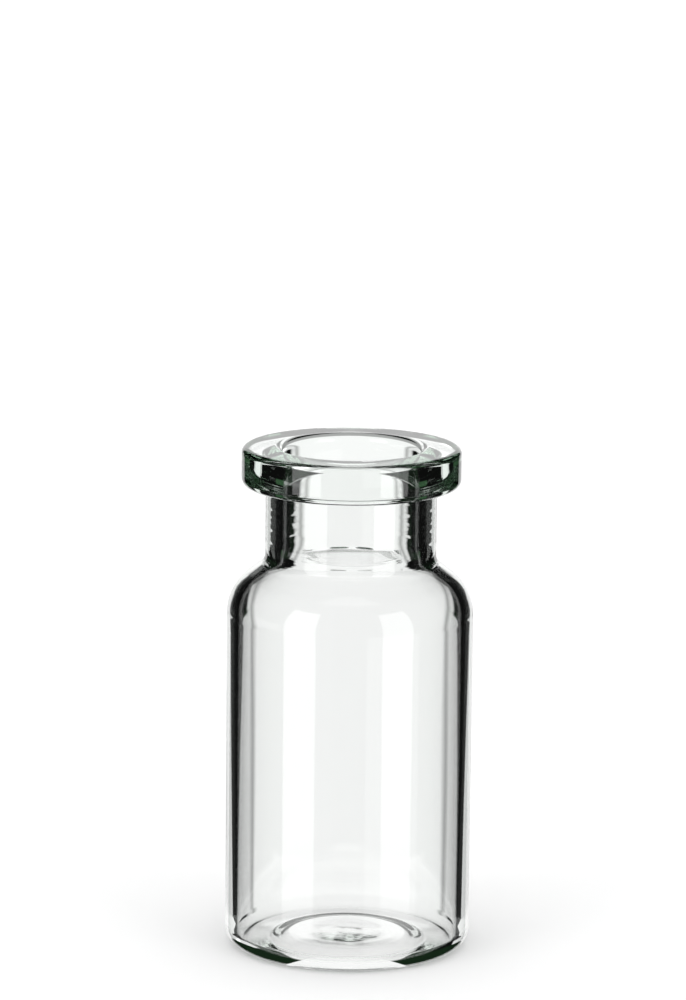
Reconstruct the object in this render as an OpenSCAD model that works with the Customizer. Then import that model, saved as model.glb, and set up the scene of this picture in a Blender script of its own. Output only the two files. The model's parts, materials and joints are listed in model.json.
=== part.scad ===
// Glass sample vial for a crimped closure: one piece of clear tubing glass.
// It stands on z = 0 with its axis on Z and its mouth up.

/* [Body] */
// Outside diameter of the body
body_d = 22.5; // [21:0.5:30]
// Height from the foot to the sealing face
height = 46.5; // [36:0.5:80]
// Thickness of the body and shoulder wall
wall = 1.1; // [0.8:0.05:1.6]

/* [Foot] */
// Outside radius of the heel
heel_r = 1.6; // [0.8:0.1:2.4]
// Width of the flat ring that the vial stands on
foot_ring_w = 2.6; // [0.8:0.1:4]
// Rise of the underside at its middle
push_up = 0.4; // [0.2:0.05:1]
// Thickness of the floor
floor_t = 0.85; // [0.7:0.05:2]
// Radius inside, between the floor and the wall
floor_edge_r = 1; // [0.6:0.1:3]

/* [Shoulder] */
// Angle between the shoulder's cone and the axis
shoulder_angle = 52; // [40:1:60]
// Outside radius between the body and the cone
shoulder_r = 4.8; // [2:0.1:6]
// Outside radius between the cone and the neck
neck_root_r = 1.2; // [0.5:0.1:2.5]
// Inside radius between the cone and the bore
throat_r = 3.4; // [0.5:0.1:4]

/* [Neck] */
// Outside diameter of the neck
neck_d = 15.6; // [14.6:0.1:17]
// Diameter of the bore
bore_d = 12.4; // [11:0.1:13]
// Length of the straight neck between its root and the lip
neck_h = 6.3; // [4:0.1:12]

/* [Lip] */
// Outside diameter of the crimp lip
lip_d = 20; // [18.6:0.1:21]
// Height of the crimp lip
lip_h = 3.6; // [2.5:0.1:5]
// Radius of the lip's upper edge
lip_top_r = 0.6; // [0.2:0.05:1]
// Radius of the lip's lower edge
lip_under_r = 0.8; // [0.2:0.05:1.2]
// Radius where the lip grows out of the neck
lip_root_r = 0.4; // [0.1:0.05:0.8]
// Radius of the mouth's inner edge
mouth_r = 0.8; // [0.1:0.05:1]

/* [Hidden] */
$fn = 96;
// How far cuts reach past the glass
overrun = 1;

body_r = body_d / 2;
cavity_r = body_r - wall;
neck_r = neck_d / 2;
bore_r = bore_d / 2;
lip_r = lip_d / 2;
shoulder_in_r = shoulder_r - wall;

// Levels that the wall is built from, from the lip down
lip_z = height - lip_h;
neck_z = lip_z - neck_h;
shoulder_z = neck_z - cone_rise(body_r - neck_r, shoulder_r, neck_root_r);
throat_z = shoulder_z + cone_rise(cavity_r - bore_r, shoulder_in_r, throat_r);

// The underside and the floor are two shallow domes about one centre on the axis
dome_edge_r = body_r - heel_r - foot_ring_w;
dome_r = (dome_edge_r * dome_edge_r + push_up * push_up) / (2 * push_up);
dome_z = push_up - dome_r;
floor_r = dome_r + floor_t;

// Centre of the round edge between the floor and the wall, which touches both
floor_edge_x = cavity_r - floor_edge_r;
floor_edge_z = dome_z + sqrt(pow(floor_r + floor_edge_r, 2) - pow(floor_edge_x, 2));
floor_touch_share = floor_r / (floor_r + floor_edge_r);

// Height of a cone with a rounding at either end that bridges a step in radius
function cone_rise(step, foot_r, head_r) =
    (step - (foot_r + head_r) * (1 - cos(shoulder_angle))) / tan(shoulder_angle)
    + (foot_r + head_r) * sin(shoulder_angle);

// Point on a round edge where the cone touches it
function cone_touch(centre, r) = centre + r * [cos(shoulder_angle), sin(shoulder_angle)];

// Centres of the round edges that are used more than once
shoulder_c = [body_r - shoulder_r, shoulder_z];
neck_root_c = [neck_r + neck_root_r, neck_z];
throat_c = [bore_r + throat_r, throat_z];

module disc(centre, r) {
    translate(centre) circle(r = r);
}

// Half-section of the outside. The outline runs straight between the ends of its
// round edges. Discs are added where it bulges and cut where it is hollow.
module outside() {
    difference() {
        polygon([
            [0, 0],
            [body_r - heel_r, 0],
            [body_r, heel_r],
            [body_r, shoulder_z],
            cone_touch(shoulder_c, shoulder_r),
            cone_touch(neck_root_c, -neck_root_r),
            [neck_r, neck_z],
            [neck_r, lip_z - lip_root_r],
            [neck_r + lip_root_r, lip_z],
            [lip_r - lip_under_r, lip_z],
            [lip_r, lip_z + lip_under_r],
            [lip_r, height - lip_top_r],
            [lip_r - lip_top_r, height],
            [0, height],
        ]);
        disc([0, dome_z], dome_r);
        disc(neck_root_c, neck_root_r);
        disc([neck_r + lip_root_r, lip_z - lip_root_r], lip_root_r);
    }
    disc([body_r - heel_r, heel_r], heel_r);
    disc(shoulder_c, shoulder_r);
    disc([lip_r - lip_under_r, lip_z + lip_under_r], lip_under_r);
    disc([lip_r - lip_top_r, height - lip_top_r], lip_top_r);
}

// Half-section of the hollow, from the floor up through the mouth
module hollow() {
    difference() {
        polygon([
            [0, dome_z + floor_r],
            [0, dome_z] + floor_touch_share * [floor_edge_x, floor_edge_z - dome_z],
            [cavity_r, floor_edge_z],
            [cavity_r, shoulder_z],
            cone_touch(shoulder_c, shoulder_in_r),
            cone_touch(throat_c, -throat_r),
            [bore_r, throat_z],
            [bore_r, height - mouth_r],
            [bore_r + mouth_r, height],
            [bore_r + mouth_r, height + overrun],
            [0, height + overrun],
        ]);
        disc([0, dome_z], floor_r);
        disc(throat_c, throat_r);
        disc([bore_r + mouth_r, height - mouth_r], mouth_r);
    }
    disc([floor_edge_x, floor_edge_z], floor_edge_r);
    disc(shoulder_c, shoulder_in_r);
}

// The whole vial, turned from the part of its section on one side of the axis
module vial() {
    color([0.86, 0.92, 0.91, 0.45])
        rotate_extrude()
            intersection() {
                difference() {
                    outside();
                    hollow();
                }
                translate([0, -overrun]) square([body_d, height + 2 * overrun]);
            }
}

vial();
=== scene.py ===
"""A clear glass sample vial with a crimp lip, standing on a white floor in a bright studio."""

import json
import math

import bpy
from mathutils import Matrix, Vector


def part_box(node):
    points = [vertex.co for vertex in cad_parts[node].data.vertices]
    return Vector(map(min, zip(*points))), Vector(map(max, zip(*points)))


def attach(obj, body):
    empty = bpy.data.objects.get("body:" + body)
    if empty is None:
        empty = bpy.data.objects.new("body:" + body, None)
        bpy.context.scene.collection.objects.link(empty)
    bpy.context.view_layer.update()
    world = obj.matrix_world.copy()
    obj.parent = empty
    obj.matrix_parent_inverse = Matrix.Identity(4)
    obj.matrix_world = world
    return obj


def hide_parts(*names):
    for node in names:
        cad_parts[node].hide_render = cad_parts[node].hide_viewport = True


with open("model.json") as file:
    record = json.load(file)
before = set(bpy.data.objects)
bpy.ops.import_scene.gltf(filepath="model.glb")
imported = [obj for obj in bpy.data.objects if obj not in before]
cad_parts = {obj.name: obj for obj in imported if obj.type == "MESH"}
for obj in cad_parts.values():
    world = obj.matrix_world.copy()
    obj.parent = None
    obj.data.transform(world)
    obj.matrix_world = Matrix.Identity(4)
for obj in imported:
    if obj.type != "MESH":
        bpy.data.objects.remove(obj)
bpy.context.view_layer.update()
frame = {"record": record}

MM = 0.001


# Sizes of the vial, in millimetres

MOUNTS = {mount["name"]: mount for mount in frame["record"]["mounts"]}


def mount_radius(name):
    return MOUNTS[name]["dims"]["r_mm"]


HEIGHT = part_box("vial")[1][2] / MM
BODY_R = mount_radius("body_barrel")
LIP_R = mount_radius("crimp_lip")
BORE_R = mount_radius("neck_bore")
WALL = 1.1
HEEL_R = 1.6
FOOT_RING_W = 2.6
PUSH_UP = 0.4
FLOOR_T = 0.85
FLOOR_EDGE_R = 1.0
SHOULDER_ANGLE = math.radians(52)
SHOULDER_R = 4.8
NECK_R = 7.8
NECK_ROOT_R = 1.2
NECK_H = 6.3
THROAT_R = 3.4
LIP_H = 3.6
LIP_TOP_R = 0.6
LIP_UNDER_R = 0.8
LIP_ROOT_R = 0.4
MOUTH_R = 0.8

CAVITY_R = BODY_R - WALL
LIP_Z = HEIGHT - LIP_H
NECK_Z = LIP_Z - NECK_H


def cone_rise(step, foot_r, head_r):
    """Height of a cone with a rounding at either end that bridges a step in radius."""
    rounds = foot_r + head_r
    straight = step - rounds * (1 - math.cos(SHOULDER_ANGLE))
    return straight / math.tan(SHOULDER_ANGLE) + rounds * math.sin(SHOULDER_ANGLE)


SHOULDER_Z = NECK_Z - cone_rise(BODY_R - NECK_R, SHOULDER_R, NECK_ROOT_R)
THROAT_Z = SHOULDER_Z + cone_rise(CAVITY_R - BORE_R, SHOULDER_R - WALL, THROAT_R)
DOME_EDGE_R = BODY_R - HEEL_R - FOOT_RING_W
DOME_R = (DOME_EDGE_R**2 + PUSH_UP**2) / (2 * PUSH_UP)
DOME_Z = PUSH_UP - DOME_R
FLOOR_R = DOME_R + FLOOR_T
FLOOR_EDGE_X = CAVITY_R - FLOOR_EDGE_R
FLOOR_EDGE_Z = DOME_Z + math.sqrt((FLOOR_R + FLOOR_EDGE_R) ** 2 - FLOOR_EDGE_X**2)


# Outline and mesh of the glass

ROUND_STEP = math.radians(6)
ROUND_LEAST = 4
# Longest stretches of the outline, in millimetres
COARSE_STEP = 1.5
FLOOR_STEP = 0.3
NECK_STEP = 0.16
MARK_STEP = 0.04
TINY = 1e-6
SIDES = 240


def arc(centre, radius, start, end):
    """Points on a round edge, from one angle to the other, both in radians."""
    count = max(ROUND_LEAST, math.ceil(abs(end - start) / ROUND_STEP))
    angles = [start + (end - start) * i / count for i in range(count + 1)]
    return [(centre[0] + radius * math.cos(a), centre[1] + radius * math.sin(a)) for a in angles]


def step_near(r, top, bottom):
    """Longest stretch of the outline between two levels that may stay undivided."""
    if r > NECK_R + RIPPLE_ROOM:
        return COARSE_STEP
    if top < SHOULDER_Z:
        return FLOOR_STEP
    if in_throat(r, top) and bottom < THROAT_MARK_Z + THROAT_MARK_REACH:
        return MARK_STEP
    return NECK_STEP


def filled(points):
    """The same outline with its long stretches divided, finely where the glass is uneven."""
    out = [points[0]]
    for (r0, z0), (r1, z1) in zip(points, points[1:]):
        length = math.hypot(r1 - r0, z1 - z0)
        if length < TINY:
            continue
        step = step_near(min(r0, r1), max(z0, z1), min(z0, z1))
        count = max(1, math.ceil(length / step))
        for i in range(1, count + 1):
            out.append((r0 + (r1 - r0) * i / count, z0 + (z1 - z0) * i / count))
    return out


def glass_outline():
    """Section of the glass, from the middle of the underside round to the middle of the floor."""
    quarter = math.pi / 2
    cone = SHOULDER_ANGLE
    dome = (0, DOME_Z)
    shoulder = (BODY_R - SHOULDER_R, SHOULDER_Z)
    floor_touch = math.atan2(FLOOR_EDGE_Z - DOME_Z, FLOOR_EDGE_X)
    return filled([
        *arc(dome, DOME_R, quarter, math.atan2(-DOME_Z, DOME_EDGE_R)),
        *arc((BODY_R - HEEL_R, HEEL_R), HEEL_R, -quarter, 0),
        *arc(shoulder, SHOULDER_R, 0, cone),
        *arc((NECK_R + NECK_ROOT_R, NECK_Z), NECK_ROOT_R, math.pi + cone, math.pi),
        *arc((NECK_R + LIP_ROOT_R, LIP_Z - LIP_ROOT_R), LIP_ROOT_R, math.pi, quarter),
        *arc((LIP_R - LIP_UNDER_R, LIP_Z + LIP_UNDER_R), LIP_UNDER_R, -quarter, 0),
        *arc((LIP_R - LIP_TOP_R, HEIGHT - LIP_TOP_R), LIP_TOP_R, 0, quarter),
        *arc((BORE_R + MOUTH_R, HEIGHT - MOUTH_R), MOUTH_R, quarter, math.pi),
        *arc((BORE_R + THROAT_R, THROAT_Z), THROAT_R, math.pi, math.pi + cone),
        *arc(shoulder, SHOULDER_R - WALL, cone, 0),
        *arc((FLOOR_EDGE_X, FLOOR_EDGE_Z), FLOOR_EDGE_R, 0, floor_touch - math.pi),
        *arc(dome, FLOOR_R, floor_touch, quarter),
    ])


# Marks that working the glass leaves, in millimetres

# Ripples around the neck: two waves that drift around the axis, the second one lower and turned
RIPPLE = 0.0014
RIPPLE_LENGTHS = (1.05, 0.62)
RIPPLE_DRIFTS = (0.8, 1.5)
RIPPLE_SHARE = 0.7
RIPPLE_TURN = 0.5
RIPPLE_ROOM = 0.1
# They start between these levels above the foot of the neck, and end between these below the lip
RIPPLE_FOOT = (-0.4, 0.6)
RIPPLE_HEAD = (0.5, 1.2)
THROAT_MARK = 0.12
THROAT_MARK_Z = 35.9
THROAT_MARK_HALF = 0.09
THROAT_MARK_REACH = 0.3
THROAT_WALL = 0.5
# Dashes of the throat's mark: middle and half length in degrees from the back, and share of the depth
DASHES = [(-44, 1, 0.5), (-12, 5, 0.8), (10, 5, 1.0), (40, 3, 0.4)]
DASH_END = math.radians(4)
# Step inside the foot ring, which loses a share of its height towards the middle
FOOT_STEP = 0.4
FOOT_STEP_W = 1.6
FOOT_STEP_LOSS = 0.5
UNDERSIDE_TOP = PUSH_UP + 0.01
# Swirl on the floor: height, reach, and the waves by their shares of x and y and their start
SWIRL = 0.028
SWIRL_R = 2.2
SWIRL_WAVES = [(2.3, 0, 0.6), (0.7, 2.9, -0.8)]


def eased(value, start, end):
    """0 before the start, 1 after the end, and smooth in between."""
    share = min(max((value - start) / (end - start), 0), 1)
    return share * share * (3 - 2 * share)


def bell(distance, half):
    """1 at no distance, about a third at the half width, and soon almost nothing beyond it."""
    return math.exp(-((distance / half) ** 2))


def in_throat(r, z):
    """Whether a point is on the inside, near the mark at the foot of the bore."""
    return r < NECK_R - THROAT_WALL and z > THROAT_MARK_Z - THROAT_MARK_REACH


def dashed(a):
    """Share of the throat mark's depth at a place around the axis."""
    share = 0
    for middle, half, depth in DASHES:
        away = abs(a - math.radians(90 + middle))
        share += depth * eased(-away, -math.radians(half) - DASH_END, -math.radians(half))
    return share


def worked(r, z, a):
    """A point of the outline, moved by the marks at its place around the axis."""
    if r < NECK_R + RIPPLE_ROOM and z > SHOULDER_Z:
        long, short = (2 * math.pi * z / length for length in RIPPLE_LENGTHS)
        wave = math.sin(long + RIPPLE_DRIFTS[0] * math.sin(a))
        wave += RIPPLE_SHARE * math.sin(short + RIPPLE_DRIFTS[1] * math.sin(2 * a + RIPPLE_TURN))
        foot = eased(z, NECK_Z + RIPPLE_FOOT[0], NECK_Z + RIPPLE_FOOT[1])
        head = eased(-z, RIPPLE_HEAD[0] - LIP_Z, RIPPLE_HEAD[1] - LIP_Z)
        r += RIPPLE * wave * foot * head
    if in_throat(r, z):
        r += THROAT_MARK * dashed(a) * bell(z - THROAT_MARK_Z, THROAT_MARK_HALF)
    if z < UNDERSIDE_TOP:
        inner = FOOT_STEP_W - DOME_EDGE_R
        left = 1 - FOOT_STEP_LOSS * eased(-r, inner, 0)
        z += FOOT_STEP * eased(-r, -DOME_EDGE_R, inner) * left
    elif z < HEEL_R + FLOOR_T:
        x, y = r * math.cos(a), r * math.sin(a)
        waves = sum(math.sin(on_x * x + on_y * y + start) for on_x, on_y, start in SWIRL_WAVES)
        z += SWIRL * waves * bell(r, SWIRL_R)
    return r, z


def turned(name, outline):
    """A smooth mesh turned from an outline that starts and ends on the axis."""
    rings = outline[1:-1]
    verts = []
    for ring in rings:
        for side in range(SIDES):
            a = 2 * math.pi * side / SIDES
            r, z = worked(*ring, a)
            verts.append((r * math.cos(a) * MM, r * math.sin(a) * MM, z * MM))
    faces = []
    for ring in range(len(rings) - 1):
        low, high = ring * SIDES, (ring + 1) * SIDES
        for side in range(SIDES):
            after = (side + 1) % SIDES
            faces.append((low + side, low + after, high + after, high + side))
    first, last = len(verts), len(verts) + 1
    verts += [(0, 0, worked(*point, 0)[1] * MM) for point in (outline[0], outline[-1])]
    top = (len(rings) - 1) * SIDES
    for side in range(SIDES):
        after = (side + 1) % SIDES
        faces.append((after, side, first))
        faces.append((top + side, top + after, last))
    mesh = bpy.data.meshes.new(name)
    mesh.from_pydata(verts, [], faces)
    mesh.shade_smooth()
    piece = bpy.data.objects.new(name, mesh)
    bpy.context.scene.collection.objects.link(piece)
    return piece


# Shader trees

class Wire:
    """A socket of a node tree. Sums on it add Math nodes."""

    def __init__(self, tree, socket):
        self.tree = tree
        self.socket = socket

    def out(self, name):
        """Another output of the same node."""
        return Wire(self.tree, self.socket.node.outputs[name])

    def math(self, operation, *values):
        return self.tree.add("ShaderNodeMath", {"operation": operation}, dict(enumerate(values)))

    def __add__(self, other):
        return self.math("ADD", self, other)

    def __radd__(self, other):
        return self.math("ADD", other, self)

    def __sub__(self, other):
        return self.math("SUBTRACT", self, other)

    def __rsub__(self, other):
        return self.math("SUBTRACT", other, self)

    def __mul__(self, other):
        return self.math("MULTIPLY", self, other)

    def __truediv__(self, other):
        return self.math("DIVIDE", self, other)

    def __abs__(self):
        return self.math("ABSOLUTE", self)


class Tree:
    """A node tree that is filled by one method."""

    def __init__(self, owner):
        owner.use_nodes = True
        self.nodes = owner.node_tree.nodes
        self.links = owner.node_tree.links
        self.nodes.clear()

    def add(self, kind, settings=None, sockets=None, out=0):
        """Adds a node, its settings first, then its sockets' values or links."""
        node = self.nodes.new(kind)
        for key, value in (settings or {}).items():
            setattr(node, key, value)
        for key, value in (sockets or {}).items():
            if isinstance(value, Wire):
                self.links.new(value.socket, node.inputs[key])
            else:
                node.inputs[key].default_value = value
        return Wire(self, node.outputs[out]) if len(node.outputs) else node


def clear_glass():
    """Clear glass, faintly green in its depth, with the long low waves of drawn tubing."""
    material = bpy.data.materials.new("clear_glass")
    tree = Tree(material)
    place = tree.add("ShaderNodeTexCoord", None, None, "Object")
    place = tree.add("ShaderNodeMapping", None, {"Vector": place, "Scale": (1, 1, 0.12)})
    waves = tree.add("ShaderNodeTexNoise", None, {"Vector": place, "Scale": 260.0, "Detail": 1.0})
    drawn = tree.add("ShaderNodeBump", None, {"Height": waves, "Strength": 0.06, "Distance": 0.0003})
    surface = tree.add("ShaderNodeBsdfPrincipled", None, {
        "Base Color": (1, 1, 1, 1),
        "Roughness": 0.0,
        "IOR": 1.48,
        "Transmission Weight": 1.0,
        "Normal": drawn,
    })
    tint = tree.add("ShaderNodeVolumeAbsorption", None, {
        "Color": (0.2, 0.8, 0.35, 1),
        "Density": 10.0,
    })
    tree.add("ShaderNodeOutputMaterial", None, {"Surface": surface, "Volume": tint})
    return material


# Studio

FLOOR_WHITE = 0.96
FLOOR_HALF = 4.0
ROOM = 0.004
SCREEN = 1.04
EDGE = math.radians(2)
# Light that met the glass more often than this sees the screens at a share of their strength,
# and in their middle the loss is smaller by another share
DEEP_AFTER = 5.5
DEEP = 0.15
DEEP_MIDDLE = 0.5

# White screens that the light through the glass shows: azimuth left of straight behind,
# lowest and highest elevation, and half width at either of them, all in degrees
SCREENS = [
    (0, -35, -19, 26, 44),
    (0, -19, -11.7, 44, 15),
    (0, -11.7, 4, 15, 15),
    (45, -33, -20, 28, 28),
    (90, -8, 4, 18, 18),
    (-135, -20, -8, 28, 28),
]
# The screens are darker at the seam on either side of their middle, and a little beyond it
SEAM = math.radians(11)
SEAM_HALF = math.radians(0.7)
SEAM_SHADE = 0.55
SIDE_SHADE = 0.15
# A window above the screens, and a weaker screen steeply below them
WINDOW = (0, 4, 22, 11, 6)
STEEP = (0, -90, -35, 12, 12)
STEEP_SHARE = 0.42
# Dim panels beside the screens, as above and with their strength
# The same dim colour tints the sheet of painted shade under the foot
DIM_COLOUR = (0.4, 1.0, 0.45)
DIM = [
    (88, -9, 14, 34, 34, 0.08),
    (-88, -9, 14, 34, 34, 0.08),
    (100, -50, -9, 26, 26, 0.06),
    (-100, -50, -9, 26, 26, 0.06),
]
# What the outside of the glass mirrors, as above and with its strength
MIRRORED = [
    (0, -90, 0, 28, 28, 1.0),
    (0, 0, 30, 20, 20, 1.2),
    (132, -16.2, 40, 16, 16, 3.0),
    (-134, -15.9, 40, 15, 15, 2.8),
    (180, 62, 84, 50, 50, 0.8),
]
# Outline of the white paper under the vial, in millimetres: half width and distance behind the axis
PAPER = [
    (3.2, -12), (4.2, -9.5), (5.9, -6), (9.2, -2), (11, 0), (16, 3), (16.5, 6), (12, 9), (8, 12),
]
PAPER_Z = -0.05
# A dark round sheet of painted shade under the foot, seen only through the glass: its reach, height,
# sides and dim glow
SHADE_SHEET_R = 11.0
SHADE_SHEET_Z = -0.1
SHADE_SHEET_SIDES = 64
SHADE_SHEET_GLOW = 0.02


def studio_world():
    """White to the camera, and to the glass a dim room with white screens and soft boxes."""
    world = bpy.data.worlds.new("studio")
    bpy.context.scene.world = world
    tree = Tree(world)
    ray = tree.add("ShaderNodeTexCoord", None, None, "Generated")
    x = tree.add("ShaderNodeSeparateXYZ", None, {"Vector": ray})
    azimuth = x.math("ARCTAN2", x * -1, x.out("Y"))
    elevation = x.math("ARCSINE", x.out("Z"))

    def within(value, half):
        """1 inside a half width, 0 outside it, with a soft edge."""
        inside = (half - abs(value)) / EDGE + 0.5
        return inside.math("MINIMUM", inside.math("MAXIMUM", inside, 0), 1)

    def panel(left, low, high, foot, head):
        """1 on a panel that is given as in the lists, and 0 beside it."""
        left, low, high, foot, head = (math.radians(v) for v in (left, low, high, foot, head))
        turn = azimuth.math("WRAP", azimuth - left, math.pi, -math.pi)
        half = head + (elevation - high) * ((foot - head) / (low - high))
        return within(turn, half) * within(elevation - (low + high) / 2, (high - low) / 2)

    screens = 0
    for screen in SCREENS:
        screens = panel(*screen) + screens
    screens = panel(*STEEP) * STEEP_SHARE + screens
    middle = within(azimuth, SEAM)
    seam = within(abs(azimuth) - SEAM, SEAM_HALF)
    screens = screens * (1 - SIDE_SHADE + middle * SIDE_SHADE - seam * SEAM_SHADE)
    dim = 0
    for *place, strength in DIM:
        dim = panel(*place) * strength + dim
    mirrored = ROOM
    for *place, strength in MIRRORED:
        mirrored = panel(*place) * strength + mirrored

    path = tree.add("ShaderNodeLightPath", None, None, "Is Camera Ray")
    depth = path.out("Ray Depth")
    deep = depth.math("GREATER_THAN", depth, DEEP_AFTER)
    shade = 1 - deep * (1 - DEEP) * (1 - middle * DEEP_MIDDLE)
    through = (panel(*WINDOW) + screens * shade) * SCREEN + ROOM
    glass = mirrored + path.out("Is Transmission Ray") * (through - mirrored)
    bounced = path.out("Diffuse Depth")
    lit = bounced.math("GREATER_THAN", bounced, 0.5)
    level = glass + path * (1 - glass)
    level = level + lit * (1 / FLOOR_WHITE - level)
    white = tree.add("ShaderNodeBackground", None, {"Color": (1, 1, 1, 1), "Strength": level})
    beside = dim.math("MAXIMUM", 1 - screens, 0)
    dim = dim * beside * path.out("Is Transmission Ray") * (1 - path) * (1 - lit)
    room = tree.add("ShaderNodeBackground", None, {"Color": (*DIM_COLOUR, 1), "Strength": dim})
    both = tree.add("ShaderNodeAddShader", None, {0: white, 1: room})
    tree.add("ShaderNodeOutputWorld", None, {"Surface": both})


def studio_floor():
    """White floor that keeps the vial's shadow and that the glass looks past."""
    corners = ((-1, -1), (1, -1), (1, 1), (-1, 1))
    mesh = bpy.data.meshes.new("floor")
    mesh.from_pydata([(x * FLOOR_HALF, y * FLOOR_HALF, 0) for x, y in corners], [], [(0, 1, 2, 3)])
    floor = bpy.data.objects.new("floor", mesh)
    bpy.context.scene.collection.objects.link(floor)
    material = bpy.data.materials.new("floor_white")
    tree = Tree(material)
    paper = tree.add("ShaderNodeBsdfDiffuse", None, {"Color": (FLOOR_WHITE,) * 3 + (1,)})
    tree.add("ShaderNodeOutputMaterial", None, {"Surface": paper})
    mesh.materials.append(material)
    floor.visible_glossy = False
    floor.visible_transmission = False


def sheet(name, verts, faces, colour, strength):
    """A sheet under the foot that only the light through the glass shows."""
    mesh = bpy.data.meshes.new(name)
    mesh.from_pydata(verts, [], faces)
    piece = bpy.data.objects.new(name, mesh)
    bpy.context.scene.collection.objects.link(piece)
    material = bpy.data.materials.new(name)
    tree = Tree(material)
    glow = tree.add("ShaderNodeEmission", None, {"Color": (*colour, 1), "Strength": strength})
    tree.add("ShaderNodeOutputMaterial", None, {"Surface": glow})
    mesh.materials.append(material)
    piece.visible_camera = False
    piece.visible_diffuse = False
    piece.visible_glossy = False
    piece.visible_shadow = False


def foot_sheets():
    """White paper on a dark round sheet, faintly green and glowing dimly, that is painted shade under
    the foot.
    """
    verts = [(side * half * MM, y * MM, PAPER_Z * MM) for half, y in PAPER for side in (-1, 1)]
    faces = [(i, i + 1, i + 3, i + 2) for i in range(0, len(verts) - 2, 2)]
    sheet("paper", verts, faces, (1, 1, 1), SCREEN)
    turns = [2 * math.pi * side / SHADE_SHEET_SIDES for side in range(SHADE_SHEET_SIDES)]
    verts = [(SHADE_SHEET_R * math.cos(a) * MM, SHADE_SHEET_R * math.sin(a) * MM, SHADE_SHEET_Z * MM) for a in turns]
    # The dark round sheet is painted shade under the foot, in the dim colour
    sheet("mat", verts, [tuple(range(SHADE_SHEET_SIDES))], DIM_COLOUR, SHADE_SHEET_GLOW)


# Camera, from the photograph's outline of the vial

IMAGE_W, IMAGE_H = 686, 1000
SENSOR = 36
FOCAL_PX = 5059
CAMERA_DISTANCE = 0.464
CAMERA_ELEVATION = math.radians(13.64)
CAMERA_ROLL = math.radians(0.615)
AIM_Z = 0.023
AIM_PX = (349.16, 698.33)
CLIP_START = 0.01


def photo_camera():
    """Camera that looks at the middle of the vial, turned so that it lands on its pixel."""
    data = bpy.data.cameras.new("camera")
    data.sensor_width = SENSOR
    data.lens = SENSOR * FOCAL_PX / IMAGE_H
    data.clip_start = CLIP_START
    camera = bpy.data.objects.new("camera", data)
    bpy.context.scene.collection.objects.link(camera)
    bpy.context.scene.camera = camera
    back = Vector((0, -math.cos(CAMERA_ELEVATION), math.sin(CAMERA_ELEVATION)))
    tilt = math.atan((AIM_PX[1] - IMAGE_H / 2) / FOCAL_PX)
    swing = math.atan((AIM_PX[0] - IMAGE_W / 2) / FOCAL_PX)
    turn = (-back).to_track_quat("-Z", "Y").to_matrix()
    turn = turn @ Matrix.Rotation(CAMERA_ROLL, 3, "Z")
    turn = turn @ Matrix.Rotation(tilt, 3, "X") @ Matrix.Rotation(swing, 3, "Y")
    place = Vector((0, 0, AIM_Z)) + back * CAMERA_DISTANCE
    camera.matrix_world = Matrix.Translation(place) @ turn.to_4x4()


# Scene. Light runs along inside the lip, so it gets more bounces than usual.

BOUNCES = 20

bpy.context.scene.view_settings.view_transform = "Standard"
for kind in ("max_bounces", "glossy_bounces", "transmission_bounces"):
    setattr(bpy.context.scene.cycles, kind, BOUNCES)
photo_camera()
studio_world()
studio_floor()
foot_sheets()
vial = turned("vial_glass", glass_outline())
vial.data.materials.append(clear_glass())
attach(vial, "root")
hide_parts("vial")
